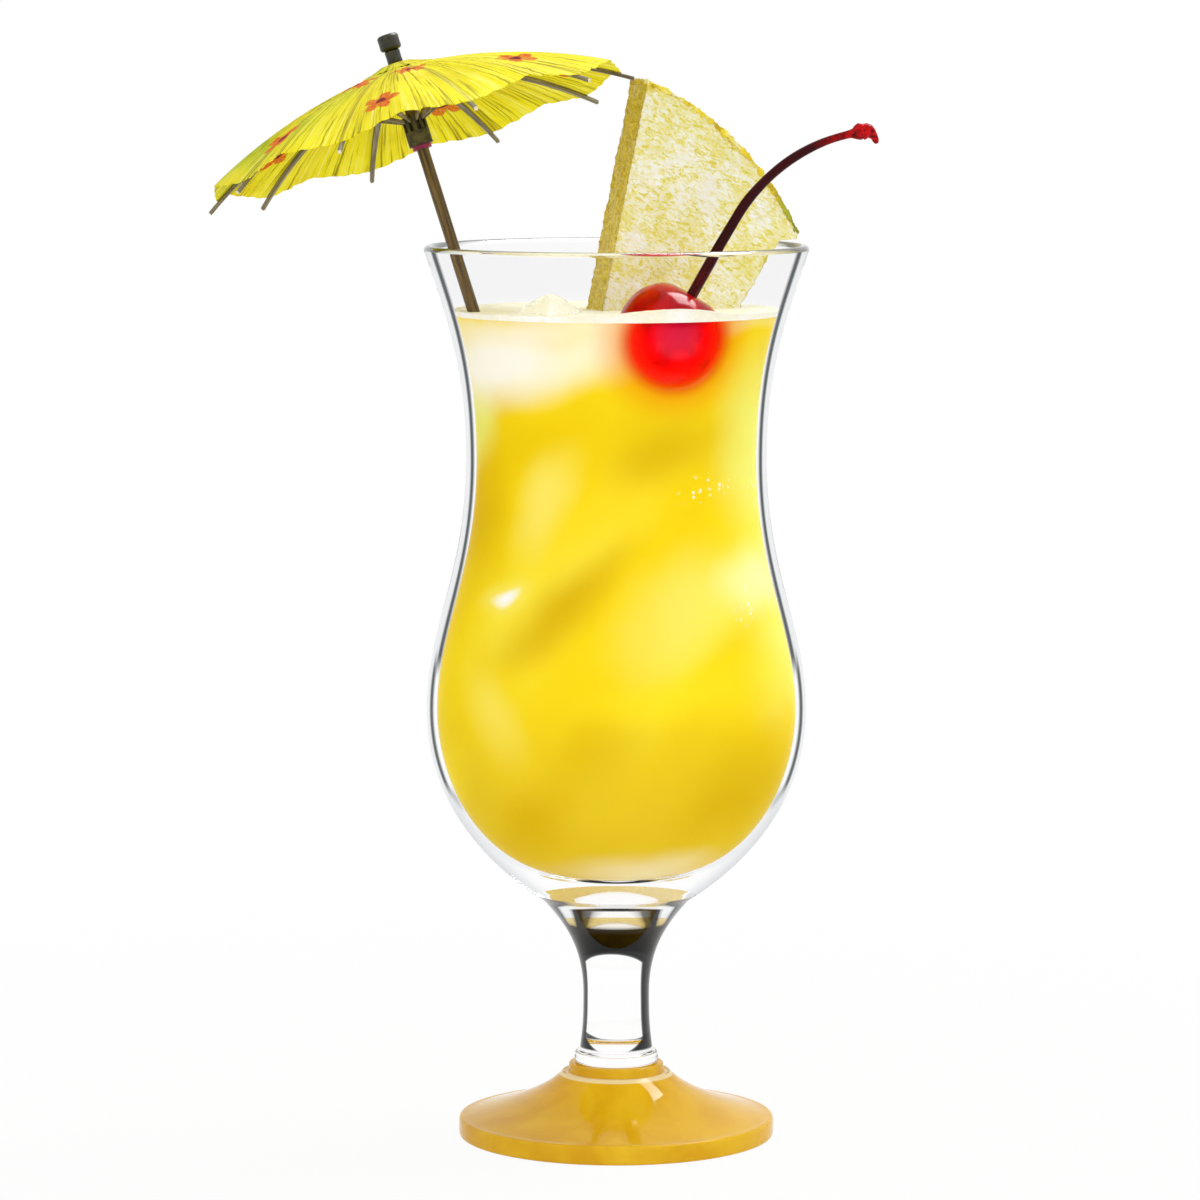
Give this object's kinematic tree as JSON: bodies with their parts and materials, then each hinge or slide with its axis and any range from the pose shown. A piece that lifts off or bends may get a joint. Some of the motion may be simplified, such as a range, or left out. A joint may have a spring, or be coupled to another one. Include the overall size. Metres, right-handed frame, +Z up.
{
  "type": "hurricane glass",
  "caption": "Footed hurricane cocktail glass holding an iced yellow drink, with a cherry, a pineapple wedge and a folding paper parasol.",
  "frame": {"origin": "centre of the foot's underside, on the plane that the glass stands on", "axes": "+Z up along the glass's axis, +X to the right and +Y away from the viewer of the pictured front"},
  "size_m": [0.1389, 0.0906, 0.2369],
  "materials": {
    "clear_glass": "polished",
    "amber_glass": "polished",
    "drink": "gloss",
    "froth": "matte",
    "ice": "gloss",
    "cherry_skin": "gloss",
    "cherry_stalk": "satin",
    "pineapple_flesh": "satin",
    "pineapple_rind": "matte",
    "bamboo": "satin",
    "turned_wood": "satin",
    "dark_lacquer": "satin",
    "magenta_plastic": "gloss",
    "thread": "matte",
    "paper": "matte"
  },
  "bodies": {
    "glass": {"bowl": "clear_glass", "stem": "clear_glass", "foot": "amber_glass", "drink": "drink", "froth": "froth", "ice_cubes": "ice"},
    "top_ice": {"top_ice_cube": "ice"},
    "cherry": {"cherry": "cherry_skin", "cherry_stalk": "cherry_stalk"},
    "pineapple": {"pineapple_wedge": "pineapple_flesh", "pineapple_rind": "pineapple_rind"},
    "parasol": {"parasol_stick": "bamboo", "parasol_neck": "dark_lacquer", "parasol_cap": "dark_lacquer", "parasol_hub": "turned_wood", "hub_thread": "thread"},
    "runner": {"runner": "turned_wood", "stop_ring": "magenta_plastic"},
    "rib_1": {"rib_1": "bamboo"},
    "strut_1": {"strut_1": "bamboo"},
    "paper_1_right": {"paper_1_right": "paper"},
    "paper_1_left": {"paper_1_left": "paper"},
    "rib_2": {"rib_2": "bamboo"},
    "strut_2": {"strut_2": "bamboo"},
    "paper_2_right": {"paper_2_right": "paper"},
    "paper_2_left": {"paper_2_left": "paper"},
    "rib_3": {"rib_3": "bamboo"},
    "strut_3": {"strut_3": "bamboo"},
    "paper_3_right": {"paper_3_right": "paper"},
    "paper_3_left": {"paper_3_left": "paper"},
    "rib_4": {"rib_4": "bamboo"},
    "strut_4": {"strut_4": "bamboo"},
    "paper_4_right": {"paper_4_right": "paper"},
    "paper_4_left": {"paper_4_left": "paper"},
    "rib_5": {"rib_5": "bamboo"},
    "strut_5": {"strut_5": "bamboo"},
    "paper_5_right": {"paper_5_right": "paper"},
    "paper_5_left": {"paper_5_left": "paper"},
    "rib_6": {"rib_6": "bamboo"},
    "strut_6": {"strut_6": "bamboo"},
    "paper_6_right": {"paper_6_right": "paper"},
    "paper_6_left": {"paper_6_left": "paper"},
    "rib_7": {"rib_7": "bamboo"},
    "strut_7": {"strut_7": "bamboo"},
    "paper_7_right": {"paper_7_right": "paper"},
    "paper_7_left": {"paper_7_left": "paper"},
    "rib_8": {"rib_8": "bamboo"},
    "strut_8": {"strut_8": "bamboo"},
    "paper_8_right": {"paper_8_right": "paper"},
    "paper_8_left": {"paper_8_left": "paper"},
    "rib_9": {"rib_9": "bamboo"},
    "strut_9": {"strut_9": "bamboo"},
    "paper_9_right": {"paper_9_right": "paper"},
    "paper_9_left": {"paper_9_left": "paper"},
    "rib_10": {"rib_10": "bamboo"},
    "strut_10": {"strut_10": "bamboo"},
    "paper_10_right": {"paper_10_right": "paper"},
    "paper_10_left": {"paper_10_left": "paper"}
  },
  "joints": [
    {"name": "ice_lift", "type": "slide", "parent": "glass", "child": "top_ice", "axis": [0, 0, 1], "range_m": [0, 0.04]},
    {"name": "cherry_lift", "type": "slide", "parent": "glass", "child": "cherry", "axis": [0, 0, 1], "range_m": [0, 0.045]},
    {"name": "pineapple_lift", "type": "slide", "parent": "glass", "child": "pineapple", "axis": [0.147, 0.0535, 0.9877], "range_m": [0, 0.04]},
    {"name": "parasol_lift", "type": "slide", "parent": "glass", "child": "parasol", "axis": [-0.3008, 0.1011, 0.9483], "range_m": [0, 0.06]},
    {"name": "parasol_fold", "type": "slide", "parent": "parasol", "child": "runner", "axis": [0.3008, -0.1011, -0.9483], "range_m": [0, 0.01646]},
    {"name": "rib_1_hinge", "type": "hinge", "parent": "parasol", "child": "rib_1", "pos_m": [-0.04377, -0.00085, 0.22957], "axis": [0.0306, 0.9949, -0.0963], "range_deg": [0, 36.01]},
    {"name": "strut_1_hinge", "type": "hinge", "parent": "rib_1", "child": "strut_1", "pos_m": [-0.02657, -0.00124, 0.23109], "axis": [-0.0306, -0.9949, 0.0963], "range_deg": [0, 64.11]},
    {"name": "paper_1_right_crease", "type": "hinge", "parent": "rib_1", "child": "paper_1_right", "pos_m": [-0.04363, -0.00062, 0.23209], "axis": [-0.9981, 0.0356, 0.0506], "range_deg": [0, 45.01]},
    {"name": "paper_1_left_crease", "type": "hinge", "parent": "rib_1", "child": "paper_1_left", "pos_m": [-0.04363, -0.00062, 0.23209], "axis": [0.9981, -0.0356, -0.0506], "range_deg": [0, 45.01]},
    {"name": "rib_2_hinge", "type": "hinge", "parent": "parasol", "child": "rib_2", "pos_m": [-0.0442, 0.00067, 0.22928], "axis": [-0.5356, 0.8049, -0.2557], "range_deg": [0, 36.01]},
    {"name": "strut_2_hinge", "type": "hinge", "parent": "rib_2", "child": "strut_2", "pos_m": [-0.02976, 0.01014, 0.22887], "axis": [0.5356, -0.8049, 0.2557], "range_deg": [0, 64.11]},
    {"name": "paper_2_right_crease", "type": "hinge", "parent": "rib_2", "child": "paper_2_right", "pos_m": [-0.04421, 0.00142, 0.23169], "axis": [-0.8445, -0.5118, 0.1577], "range_deg": [0, 45.01]},
    {"name": "paper_2_left_crease", "type": "hinge", "parent": "rib_2", "child": "paper_2_left", "pos_m": [-0.04421, 0.00142, 0.23169], "axis": [0.8445, 0.5118, -0.1577], "range_deg": [0, 45.01]},
    {"name": "rib_3_hinge", "type": "hinge", "parent": "parasol", "child": "rib_3", "pos_m": [-0.04541, 0.00161, 0.22879], "axis": [-0.8971, 0.3074, -0.3173], "range_deg": [0, 36.01]},
    {"name": "strut_3_hinge", "type": "hinge", "parent": "rib_3", "child": "strut_3", "pos_m": [-0.03882, 0.01717, 0.22525], "axis": [0.8971, -0.3074, 0.3173], "range_deg": [0, 64.11]},
    {"name": "paper_3_right_crease", "type": "hinge", "parent": "rib_3", "child": "paper_3_right", "pos_m": [-0.04583, 0.00269, 0.23104], "axis": [-0.4088, -0.8501, 0.3319], "range_deg": [0, 45.01]},
    {"name": "paper_3_left_crease", "type": "hinge", "parent": "rib_3", "child": "paper_3_left", "pos_m": [-0.04583, 0.00269, 0.23104], "axis": [0.4088, 0.8501, -0.3319], "range_deg": [0, 45.01]},
    {"name": "rib_4_hinge", "type": "hinge", "parent": "parasol", "child": "rib_4", "pos_m": [-0.04694, 0.00161, 0.22831], "axis": [-0.916, -0.3074, -0.2578], "range_deg": [0, 36.01]},
    {"name": "strut_4_hinge", "type": "hinge", "parent": "rib_4", "child": "strut_4", "pos_m": [-0.05028, 0.01717, 0.22161], "axis": [0.916, 0.3074, 0.2578], "range_deg": [0, 64.11]},
    {"name": "paper_4_right_crease", "type": "hinge", "parent": "rib_4", "child": "paper_4_right", "pos_m": [-0.04788, 0.00269, 0.23038], "axis": [0.1427, -0.8501, 0.5069], "range_deg": [0, 45.01]},
    {"name": "paper_4_left_crease", "type": "hinge", "parent": "rib_4", "child": "paper_4_left", "pos_m": [-0.04788, 0.00269, 0.23038], "axis": [-0.1427, 0.8501, -0.5069], "range_deg": [0, 45.01]},
    {"name": "rib_5_hinge", "type": "hinge", "parent": "parasol", "child": "rib_5", "pos_m": [-0.04821, 0.00067, 0.228], "axis": [-0.585, -0.8049, -0.0998], "range_deg": [0, 36.01]},
    {"name": "strut_5_hinge", "type": "hinge", "parent": "rib_5", "child": "strut_5", "pos_m": [-0.05976, 0.01014, 0.21935], "axis": [0.585, 0.8049, 0.0998], "range_deg": [0, 64.11]},
    {"name": "paper_5_right_crease", "type": "hinge", "parent": "rib_5", "child": "paper_5_right", "pos_m": [-0.04959, 0.00142, 0.22998], "axis": [0.5992, -0.5118, 0.6156], "range_deg": [0, 45.01]},
    {"name": "paper_5_left_crease", "type": "hinge", "parent": "rib_5", "child": "paper_5_left", "pos_m": [-0.04959, 0.00142, 0.22998], "axis": [-0.5992, 0.5118, -0.6156], "range_deg": [0, 45.01]},
    {"name": "rib_6_hinge", "type": "hinge", "parent": "parasol", "child": "rib_6", "pos_m": [-0.04873, -0.00085, 0.228], "axis": [-0.0306, -0.9949, 0.0963], "range_deg": [0, 36.01]},
    {"name": "strut_6_hinge", "type": "hinge", "parent": "rib_6", "child": "strut_6", "pos_m": [-0.06365, -0.00124, 0.21933], "axis": [0.0306, 0.9949, -0.0963], "range_deg": [0, 64.11]},
    {"name": "paper_6_right_crease", "type": "hinge", "parent": "rib_6", "child": "paper_6_right", "pos_m": [-0.05028, -0.00062, 0.22998], "axis": [0.7864, 0.0356, 0.6167], "range_deg": [0, 45.01]},
    {"name": "paper_6_left_crease", "type": "hinge", "parent": "rib_6", "child": "paper_6_left", "pos_m": [-0.05028, -0.00062, 0.22998], "axis": [-0.7864, -0.0356, -0.6167], "range_deg": [0, 45.01]},
    {"name": "rib_7_hinge", "type": "hinge", "parent": "parasol", "child": "rib_7", "pos_m": [-0.0483, -0.00237, 0.2283], "axis": [0.5356, -0.8049, 0.2557], "range_deg": [0, 36.01]},
    {"name": "strut_7_hinge", "type": "hinge", "parent": "rib_7", "child": "strut_7", "pos_m": [-0.06046, -0.01261, 0.22155], "axis": [-0.5356, 0.8049, -0.2557], "range_deg": [0, 64.11]},
    {"name": "paper_7_right_crease", "type": "hinge", "parent": "rib_7", "child": "paper_7_right", "pos_m": [-0.04971, -0.00266, 0.23037], "axis": [0.6328, 0.5829, 0.5096], "range_deg": [0, 45.01]},
    {"name": "paper_7_left_crease", "type": "hinge", "parent": "rib_7", "child": "paper_7_left", "pos_m": [-0.04971, -0.00266, 0.23037], "axis": [-0.6328, -0.5829, -0.5096], "range_deg": [0, 45.01]},
    {"name": "rib_8_hinge", "type": "hinge", "parent": "parasol", "child": "rib_8", "pos_m": [-0.04709, -0.00331, 0.22878], "axis": [0.8971, -0.3074, 0.3173], "range_deg": [0, 36.01]},
    {"name": "strut_8_hinge", "type": "hinge", "parent": "rib_8", "child": "strut_8", "pos_m": [-0.05141, -0.01964, 0.22517], "axis": [-0.8971, 0.3074, -0.3173], "range_deg": [0, 64.11]},
    {"name": "paper_8_right_crease", "type": "hinge", "parent": "rib_8", "child": "paper_8_right", "pos_m": [-0.04809, -0.00392, 0.23102], "axis": [0.1971, 0.9212, 0.3354], "range_deg": [0, 45.01]},
    {"name": "paper_8_left_crease", "type": "hinge", "parent": "rib_8", "child": "paper_8_left", "pos_m": [-0.04809, -0.00392, 0.23102], "axis": [-0.1971, -0.9212, -0.3354], "range_deg": [0, 45.01]},
    {"name": "rib_9_hinge", "type": "hinge", "parent": "parasol", "child": "rib_9", "pos_m": [-0.04556, -0.00331, 0.22927], "axis": [0.916, 0.3074, 0.2578], "range_deg": [0, 36.01]},
    {"name": "strut_9_hinge", "type": "hinge", "parent": "rib_9", "child": "strut_9", "pos_m": [-0.03995, -0.01964, 0.22881], "axis": [-0.916, -0.3074, -0.2578], "range_deg": [0, 64.11]},
    {"name": "paper_9_right_crease", "type": "hinge", "parent": "rib_9", "child": "paper_9_right", "pos_m": [-0.04603, -0.00392, 0.23168], "axis": [-0.3544, 0.9212, 0.1604], "range_deg": [0, 45.01]},
    {"name": "paper_9_left_crease", "type": "hinge", "parent": "rib_9", "child": "paper_9_left", "pos_m": [-0.04603, -0.00392, 0.23168], "axis": [0.3544, -0.9212, -0.1604], "range_deg": [0, 45.01]},
    {"name": "rib_10_hinge", "type": "hinge", "parent": "parasol", "child": "rib_10", "pos_m": [-0.04429, -0.00237, 0.22957], "axis": [0.585, 0.8049, 0.0998], "range_deg": [0, 36.01]},
    {"name": "strut_10_hinge", "type": "hinge", "parent": "rib_10", "child": "strut_10", "pos_m": [-0.03046, -0.01261, 0.23107], "axis": [-0.585, -0.8049, -0.0998], "range_deg": [0, 64.11]},
    {"name": "paper_10_right_crease", "type": "hinge", "parent": "rib_10", "child": "paper_10_right", "pos_m": [-0.04433, -0.00266, 0.23208], "axis": [-0.8109, 0.5829, 0.0517], "range_deg": [0, 45.01]},
    {"name": "paper_10_left_crease", "type": "hinge", "parent": "rib_10", "child": "paper_10_left", "pos_m": [-0.04433, -0.00266, 0.23208], "axis": [0.8109, -0.5829, -0.0517], "range_deg": [0, 45.01]}
  ],
  "couplings": [
    {"joint": "rib_1_hinge", "follows": "parasol_fold", "rad_per_m": 38.183},
    {"joint": "strut_1_hinge", "follows": "parasol_fold", "rad_per_m": 67.982},
    {"joint": "paper_1_right_crease", "follows": "parasol_fold", "rad_per_m": 47.729},
    {"joint": "paper_1_left_crease", "follows": "parasol_fold", "rad_per_m": 47.729},
    {"joint": "rib_2_hinge", "follows": "parasol_fold", "rad_per_m": 38.183},
    {"joint": "strut_2_hinge", "follows": "parasol_fold", "rad_per_m": 67.982},
    {"joint": "paper_2_right_crease", "follows": "parasol_fold", "rad_per_m": 47.729},
    {"joint": "paper_2_left_crease", "follows": "parasol_fold", "rad_per_m": 47.729},
    {"joint": "rib_3_hinge", "follows": "parasol_fold", "rad_per_m": 38.183},
    {"joint": "strut_3_hinge", "follows": "parasol_fold", "rad_per_m": 67.982},
    {"joint": "paper_3_right_crease", "follows": "parasol_fold", "rad_per_m": 47.729},
    {"joint": "paper_3_left_crease", "follows": "parasol_fold", "rad_per_m": 47.729},
    {"joint": "rib_4_hinge", "follows": "parasol_fold", "rad_per_m": 38.183},
    {"joint": "strut_4_hinge", "follows": "parasol_fold", "rad_per_m": 67.982},
    {"joint": "paper_4_right_crease", "follows": "parasol_fold", "rad_per_m": 47.729},
    {"joint": "paper_4_left_crease", "follows": "parasol_fold", "rad_per_m": 47.729},
    {"joint": "rib_5_hinge", "follows": "parasol_fold", "rad_per_m": 38.183},
    {"joint": "strut_5_hinge", "follows": "parasol_fold", "rad_per_m": 67.982},
    {"joint": "paper_5_right_crease", "follows": "parasol_fold", "rad_per_m": 47.729},
    {"joint": "paper_5_left_crease", "follows": "parasol_fold", "rad_per_m": 47.729},
    {"joint": "rib_6_hinge", "follows": "parasol_fold", "rad_per_m": 38.183},
    {"joint": "strut_6_hinge", "follows": "parasol_fold", "rad_per_m": 67.982},
    {"joint": "paper_6_right_crease", "follows": "parasol_fold", "rad_per_m": 47.729},
    {"joint": "paper_6_left_crease", "follows": "parasol_fold", "rad_per_m": 47.729},
    {"joint": "rib_7_hinge", "follows": "parasol_fold", "rad_per_m": 38.183},
    {"joint": "strut_7_hinge", "follows": "parasol_fold", "rad_per_m": 67.982},
    {"joint": "paper_7_right_crease", "follows": "parasol_fold", "rad_per_m": 47.729},
    {"joint": "paper_7_left_crease", "follows": "parasol_fold", "rad_per_m": 47.729},
    {"joint": "rib_8_hinge", "follows": "parasol_fold", "rad_per_m": 38.183},
    {"joint": "strut_8_hinge", "follows": "parasol_fold", "rad_per_m": 67.982},
    {"joint": "paper_8_right_crease", "follows": "parasol_fold", "rad_per_m": 47.729},
    {"joint": "paper_8_left_crease", "follows": "parasol_fold", "rad_per_m": 47.729},
    {"joint": "rib_9_hinge", "follows": "parasol_fold", "rad_per_m": 38.183},
    {"joint": "strut_9_hinge", "follows": "parasol_fold", "rad_per_m": 67.982},
    {"joint": "paper_9_right_crease", "follows": "parasol_fold", "rad_per_m": 47.729},
    {"joint": "paper_9_left_crease", "follows": "parasol_fold", "rad_per_m": 47.729},
    {"joint": "rib_10_hinge", "follows": "parasol_fold", "rad_per_m": 38.183},
    {"joint": "strut_10_hinge", "follows": "parasol_fold", "rad_per_m": 67.982},
    {"joint": "paper_10_right_crease", "follows": "parasol_fold", "rad_per_m": 47.729},
    {"joint": "paper_10_left_crease", "follows": "parasol_fold", "rad_per_m": 47.729}
  ]
}
